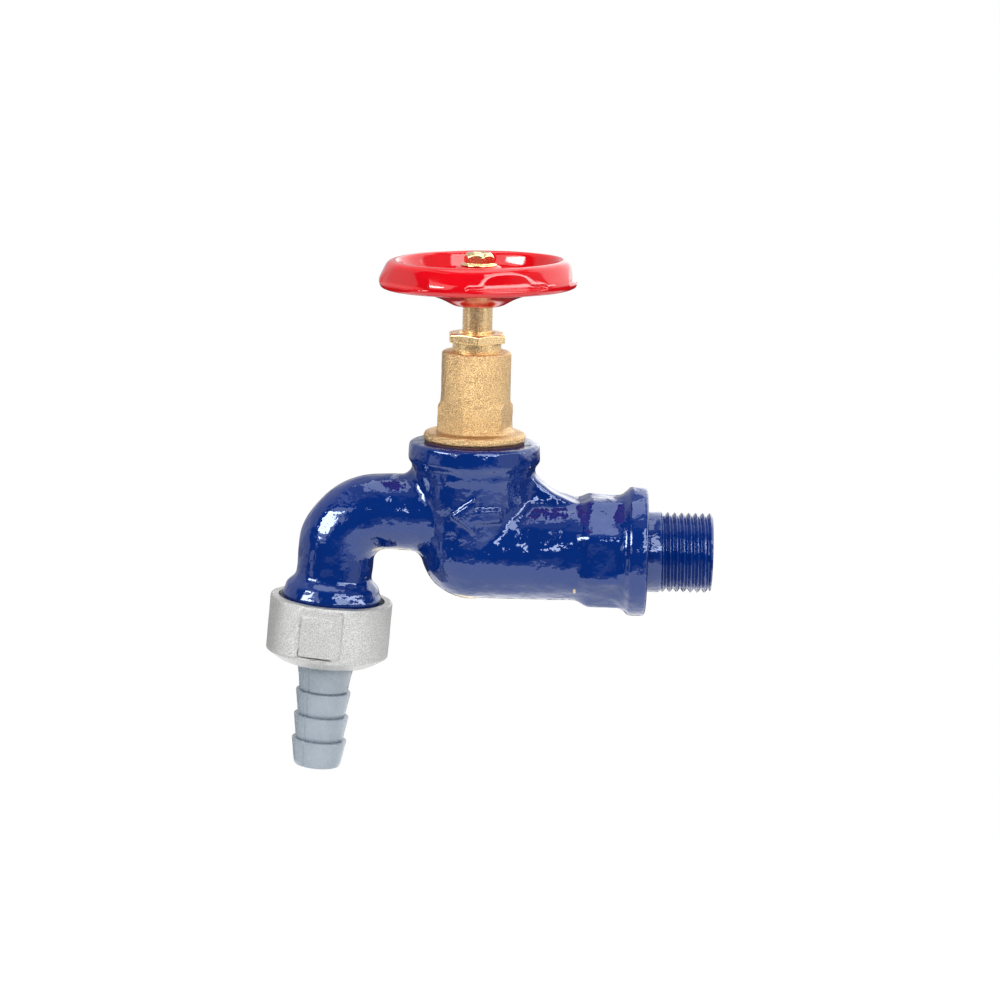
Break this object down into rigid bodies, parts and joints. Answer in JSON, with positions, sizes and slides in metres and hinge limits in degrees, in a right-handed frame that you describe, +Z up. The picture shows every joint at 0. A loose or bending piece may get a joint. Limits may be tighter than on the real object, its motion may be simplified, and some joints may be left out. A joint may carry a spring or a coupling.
{
  "type": "bib tap",
  "caption": "Wall-mounted bib tap with a bent spout, screw-down valve, round handwheel and a hose tail held by a union nut.",
  "frame": {"origin": "centre of the flange face that meets the wall, on the inlet axis", "axes": "+X along the inlet towards the wall, +Z up along the spindle, -Y is the front"},
  "size_m": [0.1156, 0.0518, 0.1366],
  "materials": {
    "blue_enamel": "gloss",
    "red_enamel": "gloss",
    "cast_brass": "sand cast",
    "turned_brass": "turned",
    "die_cast": "sand textured",
    "grey_plastic": "satin",
    "black_rubber": "matt",
    "fibre": "matt",
    "packing": "matt"
  },
  "bodies": {
    "tap_body": {"body": "blue_enamel", "valve_seat": "turned_brass", "bonnet_gasket": "fibre", "bonnet": "cast_brass", "packing_washer": "turned_brass", "packing_ring_lower": "packing", "packing_ring_upper": "packing", "gland_follower": "turned_brass", "gland_nut": "turned_brass"},
    "jumper": {"jumper_valve": "turned_brass", "valve_washer": "black_rubber", "washer_nut": "turned_brass"},
    "wheel_and_spindle": {"spindle": "turned_brass", "handwheel": "red_enamel", "handwheel_screw": "turned_brass"},
    "tail": {"hose_tail": "grey_plastic", "union_washer": "black_rubber"},
    "nut": {"union_nut": "die_cast"}
  },
  "joints": [
    {"name": "valve_lift", "type": "slide", "parent": "tap_body", "child": "jumper", "axis": [0, 0, 1], "range_m": [0, 0.00563]},
    {"name": "spindle_turn", "type": "hinge", "parent": "jumper", "child": "wheel_and_spindle", "pos_m": [-0.0454, 0, 0.04], "axis": [0, 0, 1], "range_deg": [0, 810]},
    {"name": "tail_draw", "type": "slide", "parent": "tap_body", "child": "tail", "axis": [-0.0698, 0, -0.9976], "range_m": [0, 0.00726]},
    {"name": "union_turn", "type": "hinge", "parent": "tail", "child": "nut", "pos_m": [-0.08229, 0, -0.02278], "axis": [-0.0698, 0, -0.9976], "range_deg": [0, 1440]}
  ],
  "couplings": [
    {"joint": "valve_lift", "follows": "spindle_turn", "m_per_rad": 0.00039789},
    {"joint": "tail_draw", "follows": "union_turn", "m_per_rad": 0.00028871}
  ]
}
